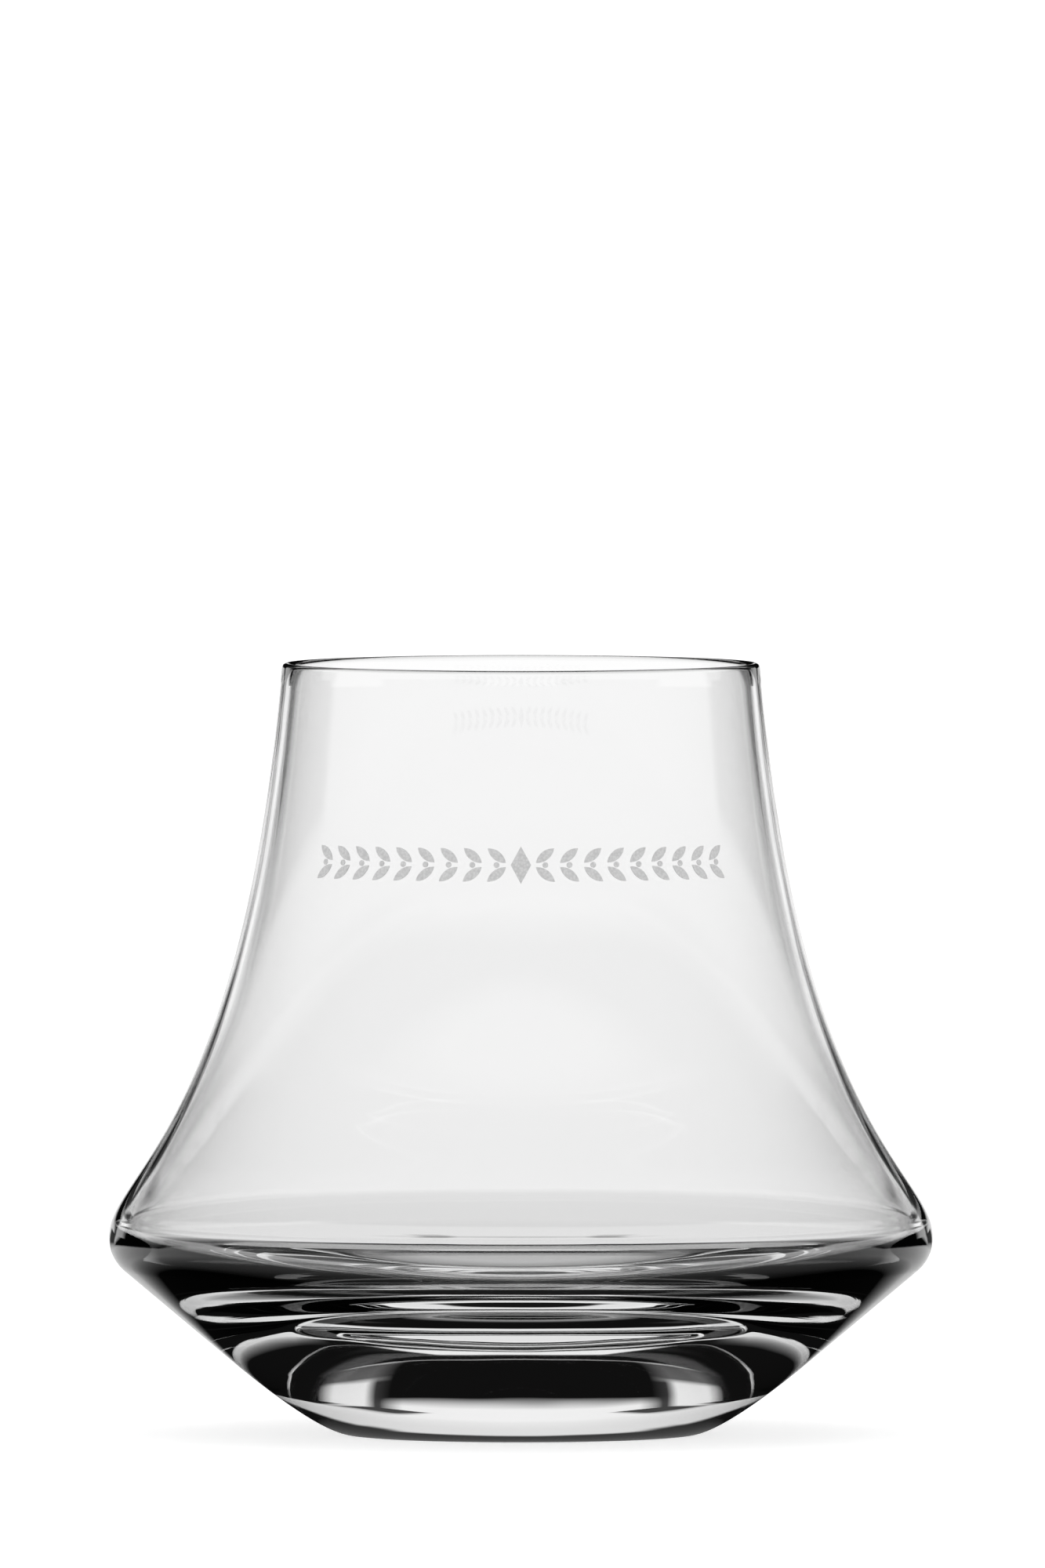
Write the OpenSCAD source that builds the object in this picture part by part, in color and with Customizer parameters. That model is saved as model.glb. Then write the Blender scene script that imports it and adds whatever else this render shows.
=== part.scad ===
// Whisky glass: a slender flared bowl with a wide rounded shoulder, standing on a heavy solid
// base shaped as a low cone. A band of engraved leaves runs across the front of the bowl.
// Millimetres and degrees. +Z is up, and the origin is the centre of the foot on the table.
// The front faces -Y.

/* [Overall] */
// Height from the table to the top of the lip
glass_h = 98.4; // [88:0.1:115]
// Outer diameter of the bowl at the rim
rim_d = 61; // [52:0.5:70]
// Widest diameter, at the shoulder
shoulder_d = 105.1; // [98:0.1:116]
// Height of the widest line, where bowl and base meet
shoulder_z = 25; // [23.5:0.1:29]

/* [Bowl] */
// Thickness of the wall at the rim, and of the round lip
rim_wall = 1.25; // [0.9:0.05:2]
// Thickness of the wall at the bottom of the flare
shoulder_wall = 2; // [1.6:0.05:3]
// Lean of the wall from vertical at the rim
rim_angle = 4.9; // [0:0.1:12]
// Lean of the wall from vertical at the bottom of the flare
flare_angle = 21; // [10:0.5:35]
// Radius of the shoulder's round above the widest line
shoulder_upper_r = 7.2; // [4:0.1:12]

/* [Base] */
// Radius of the shoulder's round below the widest line
shoulder_lower_r = 5.3; // [3:0.1:8]
// Slope of the cone above horizontal
cone_angle = 40; // [37:0.5:43]
// Height at which the cone starts to ease into the foot
heel_z = 8.6; // [5:0.1:12]
// Outer diameter of the flat ring that the glass stands on
ring_d = 43.8; // [38:0.1:47]
// Width of that ring
ring_w = 2.6; // [1.5:0.1:5]
// Depth of the hollow under the foot, at its centre
punt_h = 0.8; // [0.4:0.1:4]

/* [Cavity] */
// Height of the cavity floor at its centre
floor_z = 17.7; // [15:0.1:21]
// Dip of the dished floor from its edge to its centre
floor_dip = 0.5; // [0.1:0.1:2]
// Diameter of the dished floor, inside the cavity's wide round corner
floor_d = 60.8; // [48:0.2:72]

/* [Engraving] */
// Height of the engraved band's middle line
frieze_z = 73.9; // [65:0.1:82]
// Depth of the cuts
cut_depth = 0.2; // [0.15:0.05:0.4]
// Thickness of the frosted skin at the bottom of the cuts
frost_t = 0.1; // [0.05:0.01:0.14]
// Width of the lozenge in the middle
lozenge_w = 2.6; // [1.5:0.1:3.5]
// Height of that lozenge
lozenge_h = 4.8; // [3:0.1:6]
// Length of a leaf
leaf_len = 3; // [2:0.1:3.6]
// Width of a leaf at its middle
leaf_w = 1.15; // [0.6:0.05:1.4]
// Lean of a leaf from the band's middle line
leaf_angle = 38; // [30:1:50]
// Gap between a leaf's inner tip and the band's middle line
leaf_gap = 0.45; // [0.4:0.05:0.8]
// Distance along the wall from one pair of leaves to the next
leaf_pitch = 3.1; // [2.4:0.1:4]
// Pairs of leaves on each side of the lozenge
leaf_pairs = 9; // [4:1:9]
// Diameter of the dots between the pairs
dot_d = 0.75; // [0.4:0.05:0.9]

/* [Hidden] */

// Pull of the flare's ends, as shares of the flare's height
upper_pull_share = 0.766;
lower_pull_share = 0.111;
// Pull of the corner's ends, as shares of the corner's height and width
corner_wall_share = 0.41;
corner_floor_share = 0.77;
// The wall thickens late: the share of the way down is raised to this power
thickening_power = 10;

// Pieces that each kind of curve is divided into
flare_steps = 48;
lip_steps = 12;
round_steps = 14;
corner_steps = 24;
heel_steps = 12;
floor_steps = 10;
turn_fn = 180;
small_fn = 48;

// Plain geometry in the half section, as [radius, height]
function along(angle) = [cos(angle), sin(angle)];
function arc(centre, r, from, to, steps) =
    [for (i = [0:steps]) centre + r * along(from + (to - from) * i / steps)];
function bezier(a, b, c, d, t) =
    pow(1 - t, 3) * a + 3 * pow(1 - t, 2) * t * b + 3 * (1 - t) * t * t * c + pow(t, 3) * d;
function bezier_way(a, b, c, d, t) =
    pow(1 - t, 2) * (b - a) + 2 * (1 - t) * t * (c - b) + t * t * (d - c);
function right_of(way) = [-way[1], way[0]] / norm(way);
function backwards(points) = [for (i = [len(points) - 1:-1:0]) points[i]];
function without_first(points) = [for (i = [1:len(points) - 1]) points[i]];

// Outer line of the bowl, from the rim down to the widest line
lip_centre = [rim_d / 2 - rim_wall / 2 * cos(rim_angle), glass_h - rim_wall / 2];
flare_top = lip_centre + rim_wall / 2 * along(rim_angle);
upper_round = [shoulder_d / 2 - shoulder_upper_r, shoulder_z];
flare_foot = upper_round + shoulder_upper_r * along(flare_angle);
flare_h = flare_top[1] - flare_foot[1];
upper_pull = flare_top + upper_pull_share * flare_h * along(rim_angle - 90);
lower_pull = flare_foot + lower_pull_share * flare_h * along(flare_angle + 90);
function flare(t) = bezier(flare_top, upper_pull, lower_pull, flare_foot, t);
function flare_way(t) = bezier_way(flare_top, upper_pull, lower_pull, flare_foot, t);
outer_flare = [for (i = [0:flare_steps]) flare(i / flare_steps)];

// Inner line of the bowl, one wall thickness inside the outer line
function wall(z) = rim_wall
    + (shoulder_wall - rim_wall) * pow((flare_top[1] - z) / flare_h, thickening_power);
function inner_flare(t) = flare(t) - wall(flare(t)[1]) * right_of(flare_way(t));
inner_flare_points = [for (i = [0:flare_steps]) inner_flare(i / flare_steps)];

// Round corner of the cavity, from the wall to the floor, cut in two at the widest line
cavity_foot = inner_flare(1);
floor_edge = [floor_d / 2, floor_z + floor_dip];
floor_angle = atan(2 * floor_dip / floor_edge[0]);
corner_size = cavity_foot - floor_edge;
wall_pull = cavity_foot + corner_wall_share * corner_size[1] * along(flare_angle - 90);
floor_pull = floor_edge + corner_floor_share * corner_size[0] * along(floor_angle);
corner = [for (i = [0:corner_steps])
    bezier(cavity_foot, wall_pull, floor_pull, floor_edge, i / corner_steps)];
corner_by_height = [for (p = backwards(corner)) [p[1], p[0]]];
parting = [lookup(shoulder_z, corner_by_height), shoulder_z];
upper_corner = concat([for (p = corner) if (p[1] > shoulder_z) p], [parting]);
lower_corner = concat([parting], [for (p = corner) if (p[1] < shoulder_z) p]);

// Cone and foot
lower_round = [shoulder_d / 2 - shoulder_lower_r, shoulder_z];
cone_top = lower_round + shoulder_lower_r * along(cone_angle - 90);
function cone_at(z) = [cone_top[0] - (cone_top[1] - z) / tan(cone_angle), z];
ring_r = ring_d / 2;
punt_r = ring_r - ring_w;

// An arc through [r, z] that is level where it meets the axis at height top
function dish(r, z, top, steps) =
    let (rise = top - z, dish_r = (r * r + rise * rise) / (2 * abs(rise)))
    [for (i = [0:steps])
        let (x = r * (1 - i / steps))
        [x, top - sign(rise) * (dish_r - sqrt(dish_r * dish_r - x * x))]];
cavity_floor = dish(floor_edge[0], floor_edge[1], floor_z, floor_steps);

// Place of the engraving on the outer wall
wall_by_height = [for (p = backwards(outer_flare)) [p[1], p[0]]];
function wall_r(z) = lookup(z, wall_by_height);
frieze_r = wall_r(frieze_z);
frieze_angle = atan((wall_r(frieze_z - lozenge_h / 2) - wall_r(frieze_z + lozenge_h / 2)) / lozenge_h);
pitch_angle = leaf_pitch / frieze_r * 180 / PI;
// How far the cutting shapes run past the wall
cut_overrun = 1;

module bowl_section() {
    polygon(concat(
        backwards(arc(lip_centre, rim_wall / 2, rim_angle, 180 + rim_angle, lip_steps)),
        without_first(outer_flare),
        without_first(arc(upper_round, shoulder_upper_r, flare_angle, 0, round_steps)),
        backwards(upper_corner),
        without_first(backwards(without_first(inner_flare_points)))
    ));
}

module base_section() {
    polygon(concat(
        arc(lower_round, shoulder_lower_r, 0, cone_angle - 90, round_steps),
        [for (i = [0:heel_steps])
            bezier(cone_at(heel_z), cone_at(heel_z), cone_at(0), [ring_r, 0], i / heel_steps)],
        dish(punt_r, 0, punt_h, floor_steps),
        backwards(cavity_floor),
        without_first(backwards(lower_corner))
    ));
}

// A leaf with two pointed ends, from the origin along +X
module leaf_outline() {
    leaf_r = (leaf_len * leaf_len + leaf_w * leaf_w) / (4 * leaf_w);
    intersection_for(side = [-1, 1])
        translate([leaf_len / 2, side * (leaf_r - leaf_w / 2)])
            circle(r = leaf_r, $fn = turn_fn);
}

module lozenge_outline() {
    polygon([[lozenge_w / 2, 0], [0, lozenge_h / 2], [-lozenge_w / 2, 0], [0, -lozenge_h / 2]]);
}

// Puts its children on the wall at a turn from the front, from a depth below its surface
module on_wall(turn, depth, height) {
    rotate([0, 0, turn])
        translate([0, -frieze_r, frieze_z])
            rotate([90 - frieze_angle, 0, 0])
                translate([0, 0, -depth])
                    linear_extrude(height = height)
                        children();
}

// The engraved band: the lozenge, then on each side pairs of leaves with dots between them
module band(depth, height) {
    on_wall(0, depth, height)
        lozenge_outline();
    for (side = [-1, 1], i = [1:leaf_pairs]) {
        turn = side * (i - 1/2) * pitch_angle;
        on_wall(turn, depth, height)
            for (up = [-1, 1])
                rotate(side > 0 ? up * leaf_angle : 180 - up * leaf_angle)
                    translate([leaf_gap, 0])
                        leaf_outline();
        on_wall(side * i * pitch_angle, depth, height)
            circle(d = dot_d, $fn = small_fn);
    }
}

module bowl() {
    color("aliceblue")
        difference() {
            rotate_extrude($fn = turn_fn)
                bowl_section();
            band(cut_depth, cut_depth + cut_overrun);
        }
}

module base() {
    color("lightcyan")
        rotate_extrude($fn = turn_fn)
            base_section();
}

module engraved_frieze() {
    color("gainsboro")
        band(cut_depth, frost_t);
}

bowl();
base();
engraved_frieze();
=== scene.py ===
# A flared whisky glass on a white table, dressed for the photograph's view.
# Metres. +Z is up, the origin is the centre of the foot, and the engraved front faces -Y.
import math

import bpy
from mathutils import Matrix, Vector


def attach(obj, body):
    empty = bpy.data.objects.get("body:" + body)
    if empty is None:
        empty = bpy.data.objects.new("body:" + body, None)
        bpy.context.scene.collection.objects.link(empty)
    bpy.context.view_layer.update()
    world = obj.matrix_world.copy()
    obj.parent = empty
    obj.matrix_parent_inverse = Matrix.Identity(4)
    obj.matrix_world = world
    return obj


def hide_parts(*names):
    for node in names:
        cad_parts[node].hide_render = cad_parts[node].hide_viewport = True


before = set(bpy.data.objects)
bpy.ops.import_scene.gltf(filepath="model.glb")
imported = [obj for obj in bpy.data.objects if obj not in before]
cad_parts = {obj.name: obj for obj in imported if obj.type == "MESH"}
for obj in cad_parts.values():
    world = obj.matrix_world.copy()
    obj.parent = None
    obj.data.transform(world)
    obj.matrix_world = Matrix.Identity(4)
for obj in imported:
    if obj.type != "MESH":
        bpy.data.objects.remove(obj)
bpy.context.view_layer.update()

MM = 0.001

# The glass's own sizes, as in the part
GLASS_H = 98.4 * MM
RIM_D = 61 * MM
SHOULDER_D = 105.1 * MM
SHOULDER_Z = 25 * MM
RIM_WALL = 1.25 * MM
SHOULDER_WALL = 2 * MM
RIM_ANGLE = 4.9
FLARE_ANGLE = 21
SHOULDER_UPPER_R = 7.2 * MM
SHOULDER_LOWER_R = 5.3 * MM
CONE_ANGLE = 40
HEEL_Z = 8.6 * MM
RING_D = 43.8 * MM
RING_W = 2.6 * MM
PUNT_H = 0.8 * MM
FLOOR_Z = 17.7 * MM
FLOOR_DIP = 0.5 * MM
FLOOR_D = 60.8 * MM
UPPER_PULL_SHARE = 0.766
LOWER_PULL_SHARE = 0.111
CORNER_WALL_SHARE = 0.41
CORNER_FLOOR_SHARE = 0.77
THICKENING_POWER = 10

# How finely the glass is divided
TURN_STEPS = 288
FLARE_STEPS = 72
LIP_STEPS = 12
ROUND_STEPS = 16
CORNER_STEPS = 48
HEEL_STEPS = 20
FLOOR_STEPS = 20
# Points of the outline that are nearer than this are one point
SAME_POINT = 0.0001 * MM


def along(angle):
    return Vector((math.cos(math.radians(angle)), math.sin(math.radians(angle))))


def arc(centre, radius, start, end, steps):
    return [centre + radius * along(start + (end - start) * i / steps) for i in range(steps + 1)]


def bezier(a, b, c, d, t):
    s = 1 - t
    return s**3 * a + 3 * s * s * t * b + 3 * s * t * t * c + t**3 * d


def bezier_way(a, b, c, d, t):
    s = 1 - t
    return s * s * (b - a) + 2 * s * t * (c - b) + t * t * (d - c)


def dish(radius, z, top, steps):
    """An arc through [radius, z] that is level where it meets the axis at height top."""
    rise = top - z
    dish_r = (radius**2 + rise**2) / (2 * abs(rise))
    points = []
    for i in range(steps + 1):
        x = radius * (1 - i / steps)
        sag = dish_r - math.sqrt(dish_r**2 - x * x)
        points.append(Vector((x, top - math.copysign(sag, rise))))
    return points


# Outer line of the flare
LIP_CENTRE = Vector((RIM_D / 2 - RIM_WALL / 2 * along(RIM_ANGLE).x, GLASS_H - RIM_WALL / 2))
FLARE_TOP = LIP_CENTRE + RIM_WALL / 2 * along(RIM_ANGLE)
UPPER_ROUND = Vector((SHOULDER_D / 2 - SHOULDER_UPPER_R, SHOULDER_Z))
FLARE_FOOT = UPPER_ROUND + SHOULDER_UPPER_R * along(FLARE_ANGLE)
FLARE_H = FLARE_TOP.y - FLARE_FOOT.y
FLARE_CURVE = (
    FLARE_TOP,
    FLARE_TOP + UPPER_PULL_SHARE * FLARE_H * along(RIM_ANGLE - 90),
    FLARE_FOOT + LOWER_PULL_SHARE * FLARE_H * along(FLARE_ANGLE + 90),
    FLARE_FOOT,
)


def outer_flare(t):
    return bezier(*FLARE_CURVE, t)


def outward(t):
    way = bezier_way(*FLARE_CURVE, t).normalized()
    return Vector((-way.y, way.x))


def inner_flare(t):
    outer = outer_flare(t)
    down_share = (FLARE_TOP.y - outer.y) / FLARE_H
    wall = RIM_WALL + (SHOULDER_WALL - RIM_WALL) * down_share**THICKENING_POWER
    return outer - wall * outward(t)


def glass_outline():
    """Half section of the whole glass as [radius, height], from the punt round to the cavity floor."""
    lower_round = Vector((SHOULDER_D / 2 - SHOULDER_LOWER_R, SHOULDER_Z))
    cone_top = lower_round + SHOULDER_LOWER_R * along(CONE_ANGLE - 90)
    run = 1 / math.tan(math.radians(CONE_ANGLE))

    def cone_at(z):
        return Vector((cone_top.x - (cone_top.y - z) * run, z))

    ring_r = RING_D / 2
    heel = (Vector((ring_r, 0)), cone_at(0), cone_at(HEEL_Z), cone_at(HEEL_Z))
    cavity_foot = inner_flare(1)
    floor_edge = Vector((FLOOR_D / 2, FLOOR_Z + FLOOR_DIP))
    floor_angle = math.degrees(math.atan(2 * FLOOR_DIP / floor_edge.x))
    corner_size = cavity_foot - floor_edge
    corner = (
        cavity_foot,
        cavity_foot + CORNER_WALL_SHARE * corner_size.y * along(FLARE_ANGLE - 90),
        floor_edge + CORNER_FLOOR_SHARE * corner_size.x * along(floor_angle),
        floor_edge,
    )
    steps = range(FLARE_STEPS + 1)
    lines = [
        dish(ring_r - RING_W, 0, PUNT_H, FLOOR_STEPS)[::-1],
        [bezier(*heel, i / HEEL_STEPS) for i in range(HEEL_STEPS + 1)],
        arc(lower_round, SHOULDER_LOWER_R, CONE_ANGLE - 90, 0, ROUND_STEPS),
        arc(UPPER_ROUND, SHOULDER_UPPER_R, 0, FLARE_ANGLE, ROUND_STEPS),
        [outer_flare(1 - i / FLARE_STEPS) for i in steps],
        arc(LIP_CENTRE, RIM_WALL / 2, RIM_ANGLE, 180 + RIM_ANGLE, LIP_STEPS),
        [inner_flare(i / FLARE_STEPS) for i in steps],
        [bezier(*corner, i / CORNER_STEPS) for i in range(CORNER_STEPS + 1)],
        dish(floor_edge.x, floor_edge.y, FLOOR_Z, FLOOR_STEPS),
    ]
    outline = []
    for point in (p for line in lines for p in line):
        if not outline or (point - outline[-1]).length > SAME_POINT:
            outline.append(point)
    return outline


def new_mesh(name, vertices, faces, smooth=True):
    mesh = bpy.data.meshes.new(name)
    mesh.from_pydata(vertices, [], faces)
    mesh.validate()
    mesh.polygons.foreach_set("use_smooth", [smooth] * len(mesh.polygons))
    mesh.update()
    piece = bpy.data.objects.new(name, mesh)
    bpy.context.scene.collection.objects.link(piece)
    return piece


def revolve(name, outline, steps):
    """Turns an outline that starts and ends on the axis into a closed mesh."""
    rings = outline[1:-1]
    vertices = [(0, 0, outline[0].y), (0, 0, outline[-1].y)]
    for point in rings:
        for k in range(steps):
            turn = 2 * math.pi * k / steps
            vertices.append((point.x * math.cos(turn), point.x * math.sin(turn), point.y))

    def at(ring, k):
        return 2 + ring * steps + k % steps

    last = len(rings) - 1
    faces = [(0, at(0, k + 1), at(0, k)) for k in range(steps)]
    for ring in range(last):
        for k in range(steps):
            faces.append((at(ring, k), at(ring, k + 1), at(ring + 1, k + 1), at(ring + 1, k)))
    faces += [(1, at(last, k), at(last, k + 1)) for k in range(steps)]
    return new_mesh(name, vertices, faces)


# The engraved band, as in the part
FRIEZE_Z = 73.9 * MM
LOZENGE_W = 2.6 * MM
LOZENGE_H = 4.8 * MM
LEAF_LEN = 3 * MM
LEAF_W = 1.15 * MM
LEAF_ANGLE = 38
LEAF_GAP = 0.45 * MM
LEAF_PITCH = 3.1 * MM
LEAF_PAIRS = 9
DOT_D = 0.75 * MM
# The frosted skin lies from this far above the wall to this far below it
FROST_PROUD = 0.02 * MM
FROST_T = 0.1 * MM
FROST_STEPS = 14
# How often the search for a height on the wall halves its range
HALVINGS = 40


def wall_at(z):
    """The share along the flare, from the rim, at which the outer wall has height z."""
    low, high = 0.0, 1.0
    for _ in range(HALVINGS):
        t = (low + high) / 2
        if outer_flare(t).y > z:
            low = t
        else:
            high = t
    return t


FRIEZE_T = wall_at(FRIEZE_Z)
FRIEZE_WALL = outer_flare(FRIEZE_T)
FRIEZE_UP = -bezier_way(*FLARE_CURVE, FRIEZE_T).normalized()


def on_wall(across, up, proud):
    """A point of the outer wall, at a distance round from the front and up from the band's middle."""
    point = FRIEZE_WALL + up * FRIEZE_UP
    share = wall_at(point.y)
    point = outer_flare(share) + proud * outward(share)
    turn = across / FRIEZE_WALL.x
    return (point.x * math.sin(turn), -point.x * math.cos(turn), point.y)


def leaf_half_width(share):
    radius = (LEAF_LEN**2 + LEAF_W**2) / (4 * LEAF_W)
    x = LEAF_LEN * (share - 1 / 2)
    return math.sqrt(radius**2 - x * x) - (radius - LEAF_W / 2)


def dot_half_width(share):
    return DOT_D * math.sqrt(max(share * (1 - share), 0))


def lozenge_half_width(share):
    return LOZENGE_W / 2 * (1 - abs(2 * share - 1))


def frost_tile(length, half_width, start, angle, centre, out):
    """Adds one closed frosted tile to out, along an angle from start, round a centre in the band."""
    vertices, faces = out
    first = len(vertices)
    way, side = along(angle), along(angle + 90)
    sides = (-1, 0, 1)
    for proud in (FROST_PROUD, FROST_PROUD - FROST_T):
        for i in range(FROST_STEPS + 1):
            share = (1 - math.cos(math.pi * i / FROST_STEPS)) / 2
            for s in sides:
                flat = (start + length * share) * way + s * half_width(share) * side
                vertices.append(on_wall(centre + flat.x, flat.y, proud))
    rows = FROST_STEPS + 1

    def at(layer, i, s):
        return first + (layer * rows + i) * len(sides) + s

    for i in range(FROST_STEPS):
        for s in (0, 1):
            faces.append((at(0, i, s), at(0, i + 1, s), at(0, i + 1, s + 1), at(0, i, s + 1)))
            faces.append((at(1, i, s + 1), at(1, i + 1, s + 1), at(1, i + 1, s), at(1, i, s)))
        faces.append((at(0, i, 0), at(1, i, 0), at(1, i + 1, 0), at(0, i + 1, 0)))
        faces.append((at(0, i, 2), at(0, i + 1, 2), at(1, i + 1, 2), at(1, i, 2)))


def engraved_band():
    out = ([], [])
    frost_tile(LOZENGE_H, lozenge_half_width, -LOZENGE_H / 2, 90, 0, out)
    for side in (-1, 1):
        for i in range(1, LEAF_PAIRS + 1):
            centre = side * (i - 1 / 2) * LEAF_PITCH
            for up in (-1, 1):
                angle = up * LEAF_ANGLE if side > 0 else 180 - up * LEAF_ANGLE
                frost_tile(LEAF_LEN, leaf_half_width, LEAF_GAP, angle, centre, out)
            frost_tile(DOT_D, dot_half_width, -DOT_D / 2, 0, side * i * LEAF_PITCH, out)
    return new_mesh("engraved_band", *out, smooth=False)


# Materials. Scales are in waves or grains to a metre.

GLASS_IOR = 1.5
WAVES_SCALE = 90
WAVES_H = 0.02 * MM
GRAINS_SCALE = 3200
# The colour at the grains' edges, a painted shade between the grains, and how far out from a grain's
# middle it is reached. The white middles are a painted sparkle.
PAINTED_GRAIN_EDGE_SHADE = (0.78, 0.78, 0.78, 1)
PAINTED_GRAIN_EDGE_SHADE_START = 0.8
FROST_ROUGHNESS = 0.7
FROST_TRANSMISSION = 0.2
WHITE = (1, 1, 1, 1)


def material(name):
    made = bpy.data.materials.new(name)
    made.use_nodes = True
    tree = made.node_tree
    tree.nodes.clear()
    output = tree.nodes.new("ShaderNodeOutputMaterial")
    return made, tree, output


def clear_glass():
    """Colourless pressed glass, with the faint waviness of its fire polish."""
    made, tree, output = material("clear_glass")
    shader = tree.nodes.new("ShaderNodeBsdfPrincipled")
    shader.inputs["Base Color"].default_value = WHITE
    shader.inputs["Roughness"].default_value = 0
    shader.inputs["IOR"].default_value = GLASS_IOR
    shader.inputs["Transmission Weight"].default_value = 1
    place = tree.nodes.new("ShaderNodeTexCoord")
    waves = tree.nodes.new("ShaderNodeTexNoise")
    waves.inputs["Scale"].default_value = WAVES_SCALE
    waves.inputs["Detail"].default_value = 1
    bump = tree.nodes.new("ShaderNodeBump")
    bump.inputs["Strength"].default_value = 1
    bump.inputs["Distance"].default_value = WAVES_H
    tree.links.new(place.outputs["Object"], waves.inputs["Vector"])
    tree.links.new(waves.outputs["Fac"], bump.inputs["Height"])
    tree.links.new(bump.outputs["Normal"], shader.inputs["Normal"])
    tree.links.new(shader.outputs["BSDF"], output.inputs["Surface"])
    return made


def frosted_glass():
    """The rough floor of the engraving: small grains, each white in its middle as a painted sparkle
    and grey at its edge as painted shade.
    """
    made, tree, output = material("frosted_glass")
    place = tree.nodes.new("ShaderNodeTexCoord")
    grains = tree.nodes.new("ShaderNodeTexVoronoi")
    grains.inputs["Scale"].default_value = GRAINS_SCALE
    # Over the real grain pattern, each grain's middle is a painted sparkle and its edge a painted
    # shade
    painted_grain_sparkle = tree.nodes.new("ShaderNodeValToRGB")
    painted_grain_sparkle.color_ramp.elements[0].color = WHITE
    painted_grain_sparkle.color_ramp.elements[1].position = PAINTED_GRAIN_EDGE_SHADE_START
    painted_grain_sparkle.color_ramp.elements[1].color = PAINTED_GRAIN_EDGE_SHADE
    shader = tree.nodes.new("ShaderNodeBsdfPrincipled")
    shader.inputs["Roughness"].default_value = FROST_ROUGHNESS
    shader.inputs["IOR"].default_value = GLASS_IOR
    shader.inputs["Transmission Weight"].default_value = FROST_TRANSMISSION
    tree.links.new(place.outputs["Object"], grains.inputs["Vector"])
    tree.links.new(grains.outputs["Distance"], painted_grain_sparkle.inputs["Fac"])
    tree.links.new(painted_grain_sparkle.outputs["Color"], shader.inputs["Base Color"])
    tree.links.new(shader.outputs["BSDF"], output.inputs["Surface"])
    return made


# The glass

glass_body = revolve("glass_body", glass_outline(), TURN_STEPS)
glass_body.data.materials.append(clear_glass())
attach(glass_body, "root")
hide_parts("bowl", "base")

band = engraved_band()
band.data.materials.append(frosted_glass())
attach(band, "root")
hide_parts("engraved_frieze")


# The studio: a table and a surround. The camera sees both as white, and dull surfaces get one even
# light. Gloss and glass see white with dark and grey parts, which draw the glass's edges.

TABLE_R = 20.0
TABLE_STEPS = 96
PAPER = (0.8, 0.8, 0.8, 1)
LAMP_LEVEL = 0.9
# What the camera's own view of the table gets on top of the light that falls on it
CAMERA_LIFT = 0.5
# The level of the dark parts, where white is 1
DARK = 0.005

# Angles are in degrees, round from +Y and up from level. Steps from light to dark are soft.
ANGLE_SOFT = 4
FINE_SOFT = 2
# The white back of the surround, and the white sectors, one to a side
BACK_HALF_ANGLE = 31
BACK_TOP = 52
SIDES = 4
SIDE_HALF_ANGLE = 18
# The dark window in the back. The other sides are dark above its foot.
WINDOW_HALF_ANGLE = 20
WINDOW_FOOT = 2
WINDOW_TOP = 21
# A grey band across what is left of the back
BAND_FOOT = 8
BAND_TOP = 18
BAND_LEVEL = 0.15
# A nearly black strip on each side, below the band and on the far table, which draws the bowl's edges
STRIP_FIRST_ANGLE = 12
STRIP_LAST_ANGLE = 21.5
STRIP_LEVEL = 0.06
STRIP_START = 350 * MM
STRIP_START_SOFT = 200 * MM

# On the table, the angles of the back and the strips are taken from this far in front of the glass
BACK_APEX = 85 * MM
# A strip near the glass, which gathers light like a lens: its angles are taken from behind the axis
LENS_APEX = -35 * MM
LENS_STRIP_FIRST_ANGLE = 11
LENS_STRIP_LAST_ANGLE = 16
LENS_STRIP_START = 50 * MM
LENS_STRIP_END = 82 * MM
LENS_STRIP_END_SOFT = 15 * MM
# The table is white all round as far as this, and beyond it only in the back and the sectors
RING_END = 1500 * MM
RING_END_SOFT = 400 * MM
# It is a little darker towards the glass
NEAR_LEVEL = 0.84
NEAR_LEVEL_R = 240 * MM
NEAR_LEVEL_SOFT = 220 * MM
# A dark oval of shade round the foot, with a pale oval under it. Soft steps are shares of an oval.
SHADE_HALF_X = 102 * MM
SHADE_HALF_Y = 60 * MM
SHADE_SOFT = 0.6
UNDER_HALF_X = 20 * MM
UNDER_HALF_Y = 23 * MM
UNDER_SOFT = 0.7
UNDER_LEVEL = 0.7
# The shade reaches farther behind the glass
BEHIND_HALF_ANGLE = 22
BEHIND_ANGLE_SOFT = 12
BEHIND_START = 30 * MM
BEHIND_END = 77 * MM
BEHIND_END_SOFT = 10 * MM
# It starts again farther out, left and right of the back
FLANK_FIRST_ANGLE = 27
FLANK_LAST_ANGLE = 66
FLANK_START = 320 * MM
FLANK_START_SOFT = 80 * MM


def maths(tree, operation, *values, clamp=False):
    node = tree.nodes.new("ShaderNodeMath")
    node.operation = operation
    node.use_clamp = clamp
    for socket, value in zip(node.inputs, values):
        if isinstance(value, (int, float)):
            socket.default_value = value
        else:
            tree.links.new(value, socket)
    return node.outputs[0]


def below(tree, value, limit, soft):
    """1 where a value is below a limit, 0 above it, with a soft step between."""
    gap = maths(tree, "SUBTRACT", limit + soft / 2, value)
    return maths(tree, "DIVIDE", gap, soft, clamp=True)


def above(tree, value, limit, soft):
    return maths(tree, "SUBTRACT", 1, below(tree, value, limit, soft))


def product(tree, *values):
    result = values[0]
    for value in values[1:]:
        result = maths(tree, "MULTIPLY", result, value)
    return result


def between(tree, value, low, high, soft):
    return product(tree, above(tree, value, low, soft), below(tree, value, high, soft))


def without(tree, light, *shades):
    """Takes shades from a light, each a share of it."""
    for shade in shades:
        light = maths(tree, "MULTIPLY", light, maths(tree, "SUBTRACT", 1, shade))
    return light


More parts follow.
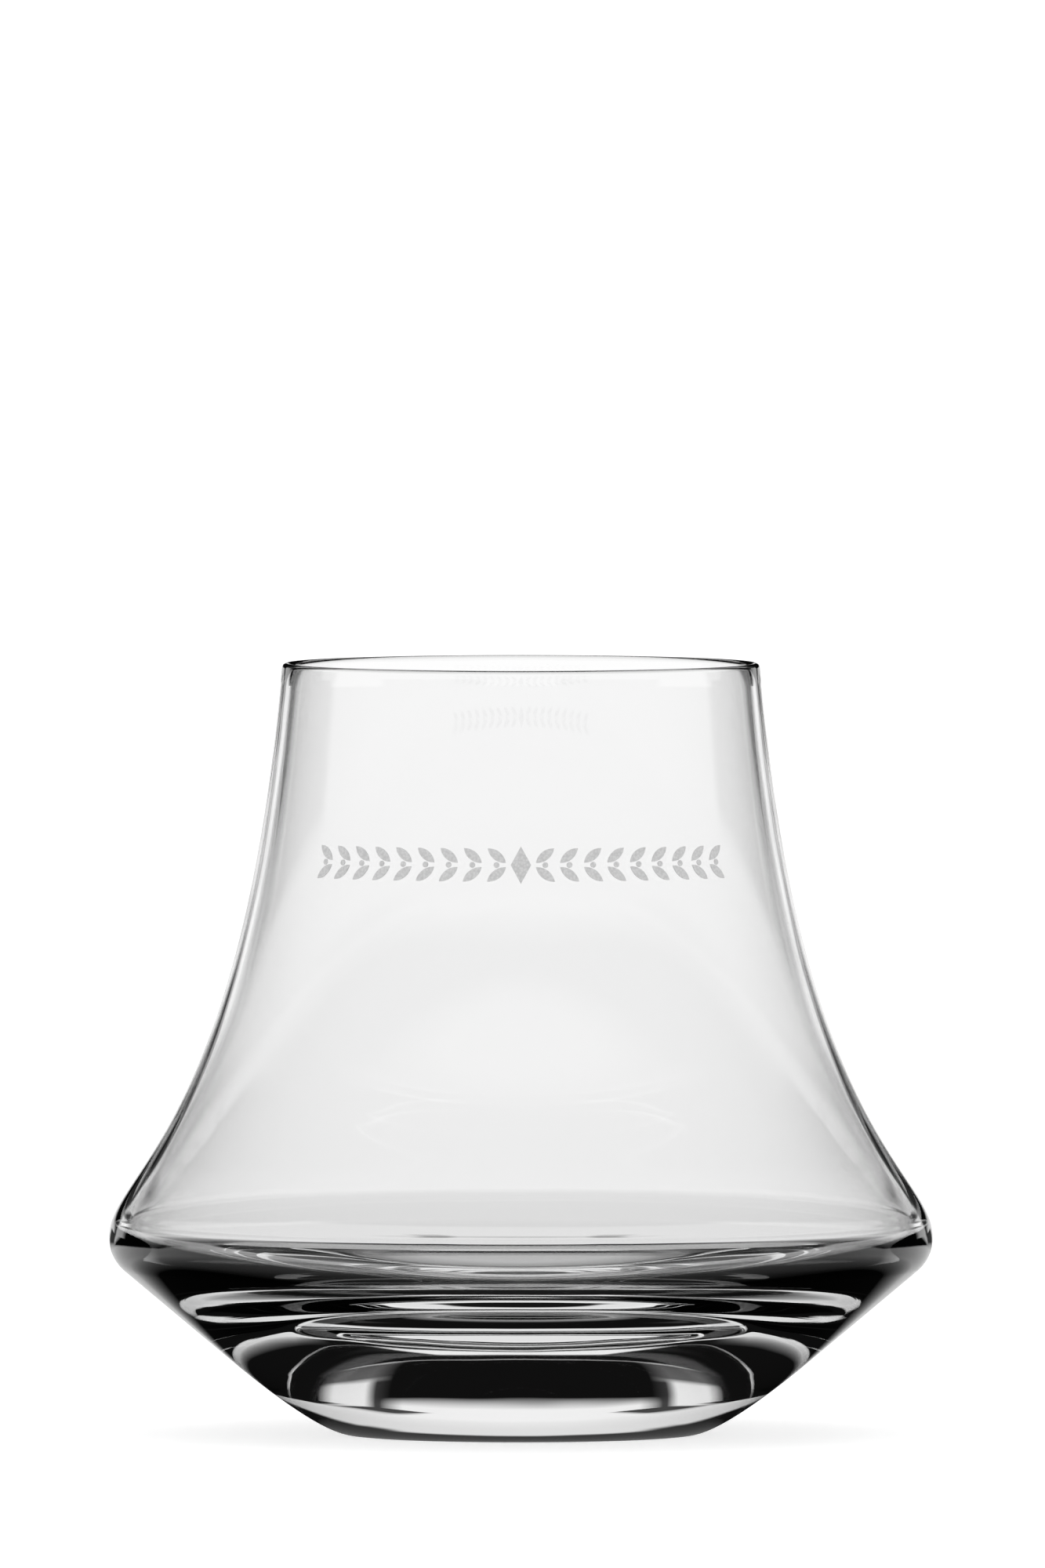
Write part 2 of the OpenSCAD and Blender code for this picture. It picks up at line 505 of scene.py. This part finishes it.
def turn_from_back(tree, x, y):
    return maths(tree, "MULTIPLY", maths(tree, "ARCTAN2", x, y), 180 / math.pi)


def off_back(tree, x, y, apex=0):
    """The angle between +Y and the way to a place, from an apex this far in front of the origin."""
    return maths(tree, "ABSOLUTE", turn_from_back(tree, x, maths(tree, "ADD", y, apex)))


def side_sectors(tree, turn):
    off = maths(tree, "PINGPONG", turn, 180 / SIDES)
    return below(tree, off, SIDE_HALF_ANGLE, ANGLE_SOFT)


def oval_reach(tree, place, half_x, half_y):
    """How far out a place on the table is, where 1 is on an oval round the origin."""
    oval = tree.nodes.new("ShaderNodeVectorMath")
    oval.operation = "DIVIDE"
    oval.inputs[1].default_value = (half_x, half_y, 1)
    tree.links.new(place.outputs["Object"], oval.inputs[0])
    reach = tree.nodes.new("ShaderNodeVectorMath")
    reach.operation = "LENGTH"
    tree.links.new(oval.outputs["Vector"], reach.inputs[0])
    return reach.outputs["Value"]


def gloss_or_glass(tree, ray):
    """1 for what the camera sees in gloss or through glass, 0 for the light on a dull surface."""
    seen = maths(tree, "MAXIMUM", ray.outputs["Is Glossy Ray"], ray.outputs["Is Transmission Ray"])
    direct = maths(tree, "LESS_THAN", ray.outputs["Diffuse Depth"], 1 / 2)
    return maths(tree, "MULTIPLY", seen, direct)


def seen_surround(tree, way):
    """What gloss and glass see of the surround."""
    x, y, z = way.outputs
    turn = turn_from_back(tree, x, y)
    off = maths(tree, "ABSOLUTE", turn)
    height = maths(tree, "MULTIPLY", maths(tree, "ARCSINE", z), 180 / math.pi)
    back = product(
        tree,
        below(tree, off, BACK_HALF_ANGLE, ANGLE_SOFT),
        below(tree, height, BACK_TOP, ANGLE_SOFT),
    )
    window = product(
        tree,
        below(tree, off, WINDOW_HALF_ANGLE, ANGLE_SOFT),
        above(tree, height, WINDOW_FOOT, FINE_SOFT),
        below(tree, height, WINDOW_TOP, ANGLE_SOFT),
    )
    band = product(tree, between(tree, height, BAND_FOOT, BAND_TOP, FINE_SOFT), 1 - BAND_LEVEL)
    strip = product(
        tree,
        between(tree, off, STRIP_FIRST_ANGLE, STRIP_LAST_ANGLE, FINE_SOFT),
        below(tree, height, BAND_FOOT, FINE_SOFT),
        1 - STRIP_LEVEL,
    )
    back = without(tree, back, window, band, strip)
    sides = product(tree, side_sectors(tree, turn), below(tree, height, WINDOW_FOOT, FINE_SOFT))
    seen = maths(tree, "MAXIMUM", back, sides)
    return maths(tree, "MULTIPLY_ADD", seen, 1 - DARK, DARK)


def seen_table(tree, place):
    """What gloss and glass see of the table."""
    spot = tree.nodes.new("ShaderNodeSeparateXYZ")
    tree.links.new(place.outputs["Object"], spot.inputs[0])
    x, y, _ = spot.outputs
    turn = turn_from_back(tree, x, y)
    off = off_back(tree, x, y)
    off_apex = off_back(tree, x, y, BACK_APEX)
    radius = oval_reach(tree, place, 1, 1)

    ring = below(tree, radius, RING_END, RING_END_SOFT)
    back = below(tree, off_apex, BACK_HALF_ANGLE, ANGLE_SOFT)
    sectors = maths(tree, "MAXIMUM", back, side_sectors(tree, turn))
    white = maths(tree, "MAXIMUM", ring, sectors)

    under = below(tree, oval_reach(tree, place, UNDER_HALF_X, UNDER_HALF_Y), 1, UNDER_SOFT)
    under = maths(tree, "MULTIPLY", under, UNDER_LEVEL)
    beyond = above(tree, oval_reach(tree, place, SHADE_HALF_X, SHADE_HALF_Y), 1, SHADE_SOFT)
    white = maths(tree, "MULTIPLY", white, maths(tree, "MAXIMUM", under, beyond))

    strip = product(
        tree,
        between(tree, off_apex, STRIP_FIRST_ANGLE, STRIP_LAST_ANGLE, FINE_SOFT),
        above(tree, radius, STRIP_START, STRIP_START_SOFT),
        1 - STRIP_LEVEL,
    )
    off_lens = off_back(tree, x, y, LENS_APEX)
    lens_strip = product(
        tree,
        between(tree, off_lens, LENS_STRIP_FIRST_ANGLE, LENS_STRIP_LAST_ANGLE, FINE_SOFT),
        between(tree, radius, LENS_STRIP_START, LENS_STRIP_END, LENS_STRIP_END_SOFT),
        1 - STRIP_LEVEL,
    )
    near = product(tree, below(tree, radius, NEAR_LEVEL_R, NEAR_LEVEL_SOFT), 1 - NEAR_LEVEL)
    behind = product(
        tree,
        below(tree, off, BEHIND_HALF_ANGLE, BEHIND_ANGLE_SOFT),
        between(tree, radius, BEHIND_START, BEHIND_END, BEHIND_END_SOFT),
    )
    flank = product(
        tree,
        between(tree, off, FLANK_FIRST_ANGLE, FLANK_LAST_ANGLE, ANGLE_SOFT),
        above(tree, radius, FLANK_START, FLANK_START_SOFT),
    )
    seen = without(tree, white, strip, lens_strip, near, behind, flank)
    return maths(tree, "MULTIPLY_ADD", seen, 1 - DARK, DARK)


def studio_world():
    world = bpy.data.worlds.new("studio")
    bpy.context.scene.world = world
    world.use_nodes = True
    tree = world.node_tree
    tree.nodes.clear()
    output = tree.nodes.new("ShaderNodeOutputWorld")
    background = tree.nodes.new("ShaderNodeBackground")
    background.inputs["Color"].default_value = WHITE
    place = tree.nodes.new("ShaderNodeTexCoord")
    ray = tree.nodes.new("ShaderNodeLightPath")
    way = tree.nodes.new("ShaderNodeSeparateXYZ")
    tree.links.new(place.outputs["Generated"], way.inputs[0])
    # The lamp level, or what gloss and glass see, or white for the camera
    level = maths(tree, "SUBTRACT", seen_surround(tree, way), LAMP_LEVEL)
    level = maths(tree, "MULTIPLY_ADD", gloss_or_glass(tree, ray), level, LAMP_LEVEL)
    level = maths(tree, "MAXIMUM", level, ray.outputs["Is Camera Ray"])
    tree.links.new(level, background.inputs["Strength"])
    tree.links.new(background.outputs["Background"], output.inputs["Surface"])


def white_table():
    """Dull paper, lifted to white for the camera. Gloss and glass see a pattern of white and dark on
    it instead, with painted shade round the foot.
    """
    made, tree, output = material("white_table")
    ray = tree.nodes.new("ShaderNodeLightPath")
    place = tree.nodes.new("ShaderNodeTexCoord")
    paper = tree.nodes.new("ShaderNodeBsdfDiffuse")
    paper.inputs["Color"].default_value = PAPER
    lift = tree.nodes.new("ShaderNodeEmission")
    lift_level = maths(tree, "MULTIPLY", ray.outputs["Is Camera Ray"], CAMERA_LIFT)
    tree.links.new(lift_level, lift.inputs["Strength"])
    direct = tree.nodes.new("ShaderNodeAddShader")
    tree.links.new(paper.outputs["BSDF"], direct.inputs[0])
    tree.links.new(lift.outputs["Emission"], direct.inputs[1])
    through = tree.nodes.new("ShaderNodeEmission")
    tree.links.new(seen_table(tree, place), through.inputs["Strength"])
    mix = tree.nodes.new("ShaderNodeMixShader")
    tree.links.new(gloss_or_glass(tree, ray), mix.inputs["Fac"])
    tree.links.new(direct.outputs["Shader"], mix.inputs[1])
    tree.links.new(through.outputs["Emission"], mix.inputs[2])
    tree.links.new(mix.outputs["Shader"], output.inputs["Surface"])
    return made


def table_top():
    vertices = [(0, 0, 0)]
    for k in range(TABLE_STEPS):
        turn = 2 * math.pi * k / TABLE_STEPS
        vertices.append((TABLE_R * math.cos(turn), TABLE_R * math.sin(turn), 0))
    faces = [(0, 1 + k, 1 + (k + 1) % TABLE_STEPS) for k in range(TABLE_STEPS)]
    table = new_mesh("table_top", vertices, faces, smooth=False)
    table.data.materials.append(white_table())


# The camera: the photograph shows 0.1 mm a pixel, from 2 degrees above level, from far away

PHOTO_W = 1333
PHOTO_H = 2000
PIXEL = 0.1 * MM
AXIS_X_PX = 664.5
FOOT_Y_PX = 1829
CAMERA_ELEVATION = 2.1
CAMERA_DISTANCE = 6.0
CLIP_START = 0.01
CLIP_END = 100


def photo_camera():
    data = bpy.data.cameras.new("camera")
    camera = bpy.data.objects.new("camera", data)
    bpy.context.scene.collection.objects.link(camera)
    data.lens = data.sensor_width * CAMERA_DISTANCE / (PHOTO_H * PIXEL)
    data.clip_start = CLIP_START
    data.clip_end = CLIP_END
    tilt = math.radians(CAMERA_ELEVATION)
    back = Vector((0, -math.cos(tilt), math.sin(tilt)))
    up = Vector((0, math.sin(tilt), math.cos(tilt)))
    right = Vector((1, 0, 0))
    aim = PIXEL * ((PHOTO_W / 2 - AXIS_X_PX) * right + (FOOT_Y_PX - PHOTO_H / 2) * up)
    camera.location = aim + CAMERA_DISTANCE * back
    camera.rotation_mode = "QUATERNION"
    camera.rotation_quaternion = back.to_track_quat("Z", "Y")
    bpy.context.scene.camera = camera


studio_world()
table_top()
photo_camera()

bpy.context.scene.view_settings.view_transform = "Standard"
